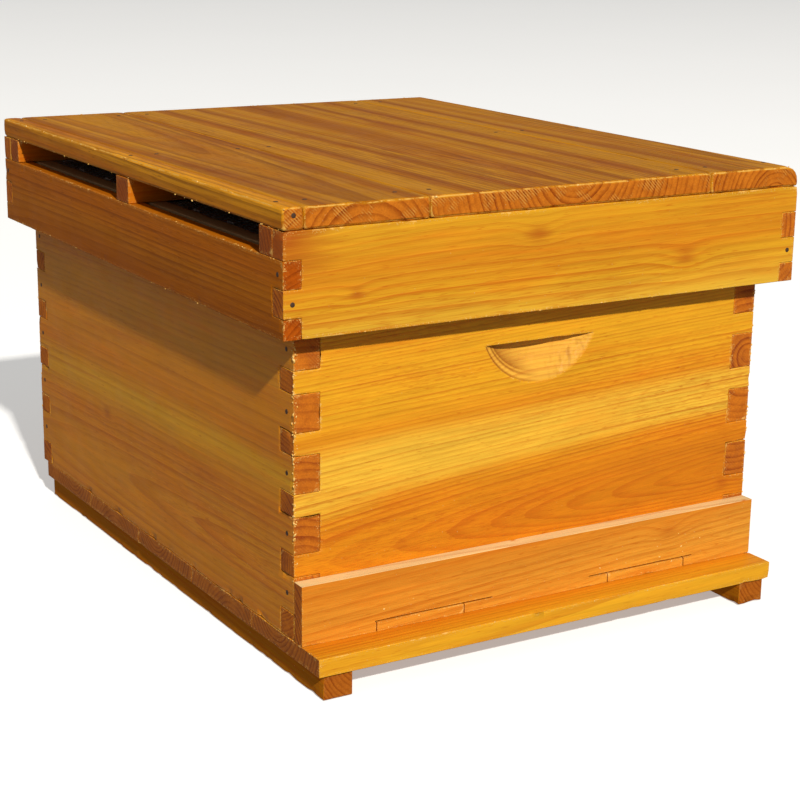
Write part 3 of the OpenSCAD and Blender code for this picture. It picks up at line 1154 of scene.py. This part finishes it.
@dataclass
class InnerCover:
    """The screened inner cover: pine rails and woven wire."""

    pitch: float = 4.5 * MM
    wire: float = 0.28 * MM

    def boards(self) -> list[Board]:
        """The five rails."""
        found = []
        for i, where in enumerate(("front", "back", "left", "right", "middle")):
            node = f"inner_cover_{where}_rail"
            low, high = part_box(node)
            grain = Axis.Y if where in ("left", "right") else Axis.X
            pith = ((low.x + high.x) / 2 + 0.05, (low.y + high.y) / 2 + 0.05, low.z - 0.03 + 0.01 * i)
            # The rails are darkened to 0.6 of raw pine: painted shade for the shaded inside seen
            # through the lid's gaps.
            found.append(Board(node, pine(grain, pith, 0.6)))
        return found

    def screen(self, hive: Hive) -> bpy.types.Object:
        """Weaves the screen from two sets of wires that pass over and under each other."""
        low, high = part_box("inner_cover_screen")
        middle = (low + high) / 2
        across, along = high.x - low.x, high.y - low.y
        counts = (int(across / self.pitch), int(along / self.pitch))
        bm = bmesh.new()
        for turned, (length_count, repeat) in enumerate((counts, counts[::-1])):
            for phase in (0, 1):
                start = len(bm.verts)
                self._wire(bm, length_count, phase, middle, bool(turned))
                bm.verts.ensure_lookup_table()
                strand = bm.verts[start:]
                edges = {e for v in strand for e in v.link_edges}
                faces = {f for v in strand for f in v.link_faces}
                geom = [*strand, *edges, *faces]
                step = self.pitch * (Axis.X if turned else Axis.Y).unit()
                first = phase - repeat // 2
                bmesh.ops.translate(bm, verts=strand, vec=step * first)
                for i in range(1, (repeat - phase + 1) // 2):
                    copy = bmesh.ops.duplicate(bm, geom=geom)
                    verts = [g for g in copy["geom"] if isinstance(g, bmesh.types.BMVert)]
                    bmesh.ops.translate(bm, verts=verts, vec=step * 2 * i)
        shade_smooth(bm)
        finish = Steel((0.26, 0.26, 0.26), (0.14, 0.13, 0.12), 0.4).material("galvanised_wire")
        return hive.place(bm, "inner_cover_woven_wire", "inner_cover_screen", finish)

    def _wire(
        self, bm: bmesh.types.BMesh, count: int, phase: int, middle: Vector, turned: bool
    ) -> None:
        """One wire through the middle, rising and falling at each crossing.

        Args:
            bm: The mesh that it is added to.
            count: How many crossings it has.
            phase: 0 or 1, for over or under at the first crossing.
            middle: The screen's middle.
            turned: Whether it runs along Y and not along X.
        """
        run = Axis.Y.unit() if turned else Axis.X.unit()
        tilt = Matrix.Rotation(math.radians(90), 4, "X" if turned else "Y")
        start = middle - run * self.pitch * (count / 2)
        ring = bmesh.ops.create_circle(
            bm, segments=4, radius=self.wire, matrix=Matrix.Translation(start) @ tilt
        )["verts"]
        edges = list({e for v in ring for e in v.link_edges})
        weave = self.wire * (-1.0 if turned else 1.0)
        for i in range(count):
            grown = bmesh.ops.extrude_edge_only(bm, edges=edges)["geom"]
            verts = [g for g in grown if isinstance(g, bmesh.types.BMVert)]
            edges = [g for g in grown if isinstance(g, bmesh.types.BMEdge)]
            over = weave if (i + phase) % 2 == 0 else -weave
            rise = over if i == 0 else 2 * over
            bmesh.ops.translate(bm, verts=verts, vec=run * self.pitch + Vector((0, 0, rise)))


def pine(grain: Axis, pith: Place, share: float = 1.0) -> Timber:
    """A planed board of raw pine.

    Args:
        grain: The axis of its grain.
        pith: A point on the log's middle.
        share: How bright it is; below 1 it is painted shade, darkening a board that sits in the shaded
            inside of the hive.

    Returns:
        How the board was sawn.
    """
    look = Palette(
        late=(0.50, 0.27, 0.10), sawn=0.0, end_light=(0.62, 0.42, 0.20), end_dark=(0.36, 0.20, 0.08),
        warm=(0.62, 0.36, 0.14), worn=(0.80, 0.62, 0.36), fresh=PINE, late_share=0.45,
        warm_share=0.2, worn_share=0.3, roughness=0.6, gloss=0.2,
    )
    zones = ((0.0, PINE_DARK), (0.08, PINE), (0.3, PINE))
    return Timber(grain, pith, (0.01, 0.02), dimmed(zones, share), look, ring=0.0030, sway=0.008)


@dataclass
class FrameSet:
    """The ten frames: bars, wires and foundation."""

    count: int = 10
    wires: int = 4
    wire_radius: float = 0.25 * MM
    wave: float = 0.9 * MM
    held: float = 25 * MM

    def make(self, hive: Hive) -> None:
        """Makes every frame from the same finishes."""
        bars = pine(Axis.Y, (0.3, 0.0, 0.9)).material("frame_bars")
        ends = pine(Axis.Z, (0.3, 0.4, 0.0)).material("frame_ends")
        wax = Beeswax().material("wax_foundation")
        wire = Steel((0.5, 0.5, 0.5), (0.3, 0.3, 0.3), 0.3).material("frame_wire")
        for i in range(1, self.count + 1):
            self._wood(hive, f"frame_{i:02d}_wood", bars, ends, i)
            self._foundation(hive, f"frame_{i:02d}_foundation", wax)
            self._wires(hive, f"frame_{i:02d}", wire)

    def _wood(
        self, hive: Hive, node: str, bars: bpy.types.Material, ends: bpy.types.Material, seed: int
    ) -> None:
        """Works a frame's four bars; the end bars take the upright grain."""
        bm = hive.merged(node)
        Planing(ease=0.5 * MM, grid=24.0 * MM, chip=0.8 * MM, warp=0.05 * MM).work(bm, seed * 1.7)
        low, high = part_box(node)
        middle = (low.y + high.y) / 2
        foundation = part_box(node.replace("wood", "foundation"))
        half = (foundation[1].y - foundation[0].y) / 2
        for face in bm.faces:
            centre = face.calc_center_median()
            below_lug = centre.z < high.z - 10 * MM
            if abs(centre.y - middle) > half + 0.05 * MM and below_lug:
                face.material_index = 1
        hive.place(bm, f"{node}_bars", node, bars, ends)

    def _foundation(self, hive: Hive, node: str, wax: bpy.types.Material) -> None:
        """Presses a sheet of foundation, waved a little by its own weight."""
        bm = hive.merged(node)
        Planing().divide(bm, 12.0 * MM)
        low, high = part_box(node)
        for vert in bm.verts:
            inside = min(vert.co.z - low.z, high.z - vert.co.z, vert.co.y - low.y, high.y - vert.co.y)
            slack = min(1.0, max(0.0, inside / self.held))
            at = Vector((vert.co.x * 3, vert.co.y * 9, vert.co.z * 9))
            vert.co.x += self.wave * slack * noise.noise(at)
        hive.place(bm, f"{node}_wax", node, wax)

    def _wires(self, hive: Hive, frame: str, steel: bpy.types.Material) -> None:
        """Strings a frame's wires from end bar to end bar, over the foundation."""
        low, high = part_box(f"{frame}_foundation")
        bm = bmesh.new()
        reach = high.y - low.y + 16 * MM
        for i in range(self.wires):
            height = low.z + (high.z - low.z) * (i + 0.6) / self.wires
            at = Vector(((low.x + high.x) / 2 + 1.1 * MM, (low.y + high.y) / 2, height))
            turn = Matrix.Rotation(math.radians(90), 4, "X")
            bmesh.ops.create_cone(
                bm, cap_ends=True, segments=6, radius1=self.wire_radius, radius2=self.wire_radius,
                depth=reach, matrix=Matrix.Translation(at) @ turn,
            )
        hive.place(bm, f"{frame}_wires", f"{frame}_foundation", steel, slot="galvanised_wire")


@dataclass
class Fixings:
    """Nails and staples: the frame's own shapes, set just proud of the wood."""

    proud: float = 0.2 * MM
    ease: float = 0.15 * MM

    def make(self, hive: Hive) -> None:
        """Makes every group of nails, and the staples."""
        nail = Steel().material("nail_steel")
        for node in ("box_nails", "floor_nails", "entrance_nails", "lid_nails"):
            self._group(hive, node, nail)
        staple = Steel((0.45, 0.45, 0.44), (0.25, 0.22, 0.2)).material("staple_wire")
        self._group(hive, "inner_cover_staples", staple)

    def _group(self, hive: Hive, node: str, steel: bpy.types.Material) -> None:
        """Copies a group, lengthens each piece by its proud share and eases its edges."""
        bm = hive.merged(node)
        for island in self._islands(bm):
            low = Vector([min(v.co[i] for v in island) for i in range(3)])
            high = Vector([max(v.co[i] for v in island) for i in range(3)])
            span, middle = high - low, (low + high) / 2
            long_axis = max(range(3), key=lambda i: span[i])
            if node == "inner_cover_staples":
                long_axis = 2
            for vert in island:
                away = vert.co[long_axis] - middle[long_axis]
                vert.co[long_axis] += math.copysign(self.proud, away)
        bevel(bm, sharp_edges(bm, 40), self.ease, 2)
        shade_smooth(bm)
        hive.place(bm, f"{node}_steel", node, steel)

    def _islands(self, bm: bmesh.types.BMesh) -> list[list[bmesh.types.BMVert]]:
        """The mesh's separate pieces, each as a list of vertices."""
        left, found = set(bm.verts), []
        while left:
            island, edge = [], [left.pop()]
            while edge:
                vert = edge.pop()
                island.append(vert)
                for other in (e.other_vert(vert) for e in vert.link_edges):
                    if other in left:
                        left.remove(other)
                        edge.append(other)
            found.append(island)
        return found


@dataclass(frozen=True)
class Trail:
    """An edge or patch where crumbs of wax and torn fibre cling.

    inward points from the edge into the wood, with nothing along a direction that the
    crumbs may spread in.
    """

    start: Vector
    end: Vector
    inward: Vector
    count: int
    depth: float = 0.2 * MM
    spread: float = 0.7 * MM
    patch: float = 0.0
    size: float = 0.62 * MM

    @classmethod
    def on_edge(
        cls, box: tuple[Vector, Vector], axis: Axis, sides: tuple[int, int], count: int, **more: float
    ) -> "Trail":
        """A trail along one edge of a box.

        Args:
            box: The box's low and high corners.
            axis: The axis that the edge runs along.
            sides: -1 or 1 for the low or high side, for each of the two other axes.
            count: How many crumbs it has.
            more: Other fields of Trail.

        Returns:
            The trail.
        """
        inward = Vector((0.0, 0.0, 0.0))
        ends = [box[0].copy(), box[1].copy()]
        for other, side in zip([a for a in Axis if a is not axis], sides):
            inward[other.value] = -side
            for end in ends:
                end[other.value] = box[side > 0][other.value]
        return cls(ends[0], ends[1], inward, count, **more)


@dataclass
class WaxCrumbs:
    """Crumbs of wax, torn fibres along sharp edges, and drops by the entrance."""

    seed: int = 7
    drop: float = 0.8 * MM
    torn: float = 0.85 * MM
    stretch: float = 1.6

    def make(self) -> None:
        """Makes the crumbs on the box, and those on the lid."""
        wax = self.material("wax_crumbs")
        self._scatter("hive_box_wax_crumbs", "hive_box", self.box_trails(), wax)
        self._scatter("lid_wax_crumbs", "lid", self.lid_trails(), wax)

    def material(self, name: str) -> bpy.types.Material:
        """Makes pale, slightly glossy wax."""
        graph = Graph(name)
        cloud = graph.noise(graph.coordinates(), 300.0, 2.0)
        colour = graph.mix(cloud.step(0.35, 0.65), (0.80, 0.40, 0.05), (0.86, 0.56, 0.18))
        return graph.finish(Base_Color=colour, Roughness=0.4 + cloud * 0.2)

    def box_trails(self) -> list[Trail]:
        """Edges of the box and the landing, and the strip's face round the right-hand door."""
        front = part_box("box_front_board")
        strip_low, strip_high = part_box("entrance_strip")
        above = (Vector((front[0].x, front[0].y, strip_high.z)), front[1])
        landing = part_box("floor_plank_1")
        found = [
            Trail.on_edge(above, Axis.Z, (-1, -1), 150, spread=1.3 * MM, size=self.torn),
            Trail.on_edge(above, Axis.Z, (1, -1), 60, size=self.torn),
            Trail.on_edge(landing, Axis.X, (-1, 1), 16), Trail.on_edge(landing, Axis.Y, (-1, 1), 10),
            Trail.on_edge(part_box("box_left_board"), Axis.Z, (-1, 1), 18),
        ]
        for side, height, count in (("left", 2.0, 4), ("right", 2.0, 12), ("right", 16.0, 7)):
            low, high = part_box(f"entrance_door_{side}")
            z = high.z + height * MM
            found.append(Trail(
                Vector((low.x, strip_low.y, z)), Vector((high.x + 20 * MM, strip_low.y, z)),
                Vector((0.0, 1.0, 0.0)), count, 0.1 * MM, 0.0, 6.0 * MM, self.drop,
            ))
        return found

    def lid_trails(self) -> list[Trail]:
        """Edges of the lid's top and rim."""
        low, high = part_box("lid_edge_strip")[0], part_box("lid_top_plank_3")[1]
        top = (low, high)
        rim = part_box("lid_front_board")
        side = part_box("lid_left_board")
        return [
            Trail.on_edge(top, Axis.X, (-1, 1), 80, depth=0.9 * MM, spread=1.4 * MM, size=self.torn),
            Trail.on_edge(top, Axis.Y, (-1, 1), 80, depth=0.9 * MM, spread=1.4 * MM, size=self.torn),
            Trail.on_edge(top, Axis.X, (1, 1), 26), Trail.on_edge(top, Axis.Y, (-1, -1), 26),
            Trail.on_edge(top, Axis.Y, (1, -1), 20), Trail.on_edge(rim, Axis.X, (-1, -1), 16),
            Trail.on_edge(side, Axis.Y, (-1, 1), 30), Trail.on_edge(side, Axis.Y, (-1, -1), 22),
        ]

    def _scatter(self, name: str, body: str, trails: list[Trail], wax: bpy.types.Material) -> None:
        """Drops crumbs along some trails, as one piece.

        Args:
            name: The piece's name.
            body: The body that it rides.
            trails: Where the crumbs cling.
            wax: Their material.
        """
        draw = random.Random(self.seed)
        bm = bmesh.new()
        for trail in trails:
            along = (trail.end - trail.start).normalized()
            for _ in range(trail.count):
                at = trail.start.lerp(trail.end, draw.random())
                face = draw.choice([a for a in Axis if trail.inward[a.value]])
                for axis in Axis:
                    sunk = trail.depth
                    if axis is not face:
                        sunk += abs(draw.gauss(0.0, trail.spread))
                    at[axis.value] += trail.inward[axis.value] * sunk
                    if not trail.inward[axis.value]:
                        at[axis.value] += draw.gauss(0.0, trail.patch)
                size = trail.size * draw.uniform(0.3, 1.0)
                longer = self.stretch * draw.random() ** 2
                stretch = Vector([1.0 + longer * abs(c) for c in along])
                turn = Matrix.Rotation(draw.uniform(-0.7, 0.7), 4, Vector((1.0, draw.random(), 0.3)))
                scale = Matrix.Diagonal((*(stretch * size), 1.0))
                made = bmesh.ops.create_icosphere(
                    bm, subdivisions=1, radius=1.0, matrix=Matrix.Translation(at) @ turn @ scale
                )["verts"]
                for vert in made:
                    vert.co += (vert.co - at) * 0.5 * noise.noise(vert.co * 900.0)
        shade_smooth(bm)
        piece = meshed(bm, name, wax)
        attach(piece, body)


@dataclass
class Studio:
    """The floor, the lights and the camera."""

    eye: Vector = field(default_factory=lambda: Vector((-0.784, -1.355, 0.555)))
    yaw: float = 0.5387
    pitch: float = 0.2666
    roll: float = 0.0127
    lens: float = 83.93
    horizon: float = 0.285
    zenith: float = 0.20
    backdrop: float = 0.93
    reach: float = 20.0
    clearance: float = 0.6 * MM
    glow: float = 0.35
    key_at: Vector = field(default_factory=lambda: Vector((-3.0, -12.25, 9.2)))
    key_size: float = 0.45
    key_power: float = 2690.0
    key_colour: Colour = (1.0, 0.97, 0.92)
    sky_colour: Colour = (1.0, 0.98, 0.95)

    def make(self) -> None:
        """Sets up the whole studio."""
        self._floor()
        self._lights()
        self._camera()
        bpy.context.scene.view_settings.view_transform = "Standard"

    def _floor(self) -> None:
        """A wide pale floor."""
        graph = Graph("studio_floor")
        cloud = graph.noise(graph.coordinates(), 1.5, 2.0)
        colour = graph.mix(cloud, (0.90, 0.90, 0.89), (0.93, 0.93, 0.92))
        finish = graph.finish(Base_Color=colour, Roughness=0.9, Emission_Color=(1.0, 1.0, 0.99),
                              Emission_Strength=self.glow)
        bm = bmesh.new()
        bmesh.ops.create_grid(
            bm, x_segments=4, y_segments=4, size=self.reach,
            matrix=Matrix.Translation((0.0, 0.0, -self.clearance)),
        )
        floor = meshed(bm, "studio_floor", finish)
        floor.visible_diffuse = False
        floor.visible_glossy = False

    def _lights(self) -> None:
        """A key from the front, and an even sky that is brighter where the camera sees it."""
        self._key()
        world = bpy.data.worlds.new("sky")
        world.use_nodes = True
        nodes, links = world.node_tree.nodes, world.node_tree.links
        place = nodes.new("ShaderNodeTexCoord")
        split = nodes.new("ShaderNodeSeparateXYZ")
        ramp = nodes.new("ShaderNodeMapRange")
        links.new(place.outputs["Generated"], split.inputs[0])
        links.new(split.outputs["Z"], ramp.inputs["Value"])
        seen = nodes.new("ShaderNodeLightPath")
        choose = nodes.new("ShaderNodeMix")
        links.new(seen.outputs["Is Camera Ray"], choose.inputs["Factor"])
        links.new(ramp.outputs["Result"], choose.inputs["A"])
        choose.inputs["B"].default_value = self.backdrop
        links.new(choose.outputs["Result"], nodes["Background"].inputs["Strength"])
        ramp.inputs["To Min"].default_value = self.horizon
        ramp.inputs["To Max"].default_value = self.zenith
        nodes["Background"].inputs["Color"].default_value = (*self.sky_colour, 1.0)
        bpy.context.scene.world = world

    def _key(self) -> None:
        """A square light that faces the hive."""
        light = bpy.data.lights.new("key", "AREA")
        light.energy, light.size, light.color = self.key_power, self.key_size, self.key_colour
        lamp = linked("key", light)
        lamp.location = self.key_at
        target = Vector((0.0, 0.0, 0.2))
        lamp.rotation_euler = (target - self.key_at).to_track_quat("-Z", "Y").to_euler()

    def _camera(self) -> None:
        """A camera in front of the hive's left corner, a little above the lid."""
        data = bpy.data.cameras.new("camera")
        data.sensor_width, data.lens = 36.0, self.lens
        camera = linked("camera", data)
        camera.location = self.eye
        ahead = Vector((
            math.sin(self.yaw) * math.cos(self.pitch), math.cos(self.yaw) * math.cos(self.pitch),
            -math.sin(self.pitch),
        ))
        level = ahead.cross(Vector((0.0, 0.0, 1.0))).normalized()
        upright = level.cross(ahead)
        right = level * math.cos(self.roll) + upright * math.sin(self.roll)
        up = right.cross(ahead)
        camera.rotation_euler = Matrix((right, up, -ahead)).transposed().to_euler()
        bpy.context.scene.camera = camera


def main() -> None:
    """Builds the hive piece by piece."""
    logging.basicConfig(level=logging.INFO, format="%(message)s")
    hive = Hive(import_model())
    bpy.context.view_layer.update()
    Studio().make()
    for part, maker in enumerate((BroodBox(), Stand(), Entrance(), Lid(), InnerCover())):
        for i, board in enumerate(maker.boards()):
            board.make(hive, seed=1.0 + i + 10.0 * part)
    InnerCover().screen(hive)
    FrameSet().make(hive)
    Fixings().make(hive)
    WaxCrumbs().make()


if __name__ == "__main__":
    main()
